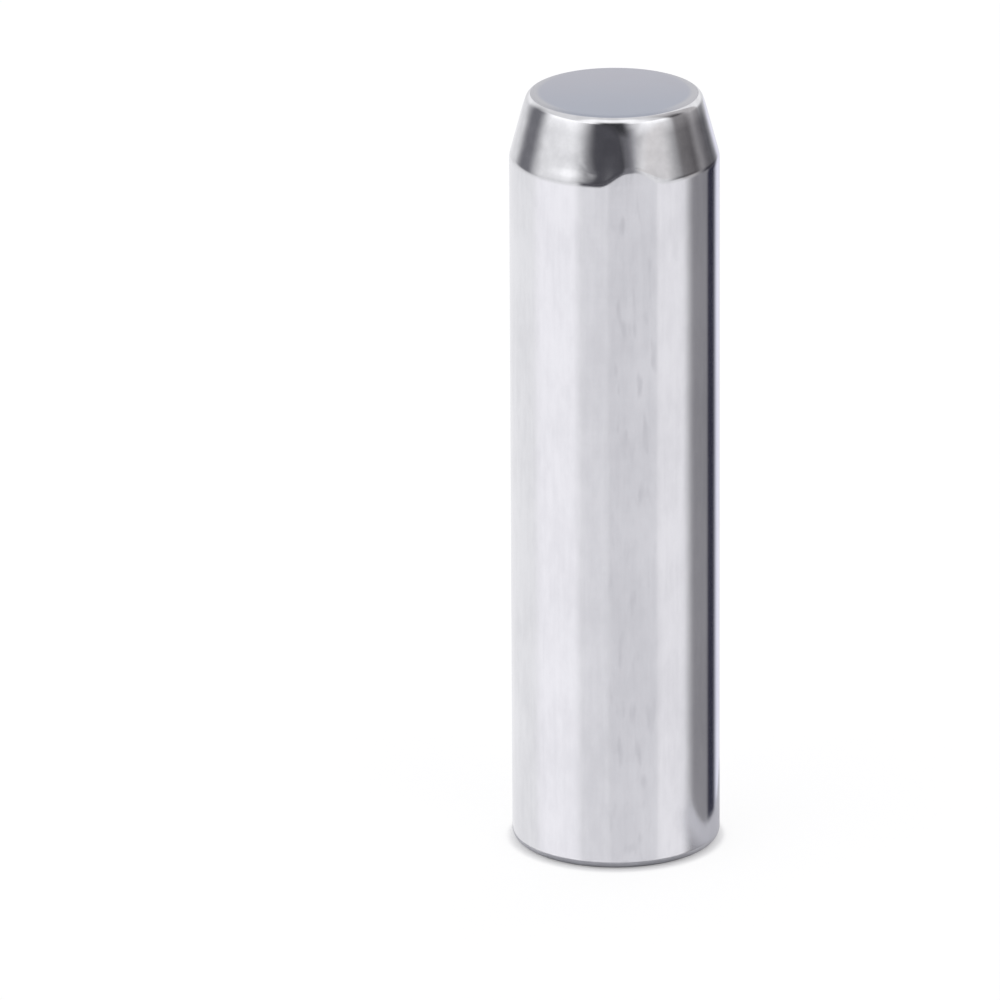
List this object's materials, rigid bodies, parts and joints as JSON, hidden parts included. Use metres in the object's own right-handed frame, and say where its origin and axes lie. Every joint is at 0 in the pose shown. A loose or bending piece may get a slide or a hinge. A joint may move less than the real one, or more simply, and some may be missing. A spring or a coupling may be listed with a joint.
{
  "type": "dowel pin",
  "caption": "Solid cylindrical steel pin with a tapered lead end and a threaded pull-out hole in its other end face.",
  "frame": {"origin": "centre of the threaded end face, which the pin stands on", "axes": "+Z along the pin's axis, from the threaded end to the tapered lead end; the pin is round, so +X and +Y are free"},
  "size_m": [0.008, 0.008, 0.03],
  "materials": {
    "steel": "ground and polished shank and taper, lapped grey lead face, turned threaded end face, dark oiled thread"
  },
  "bodies": {
    "root": {"dowel_pin": "steel"}
  },
  "joints": []
}
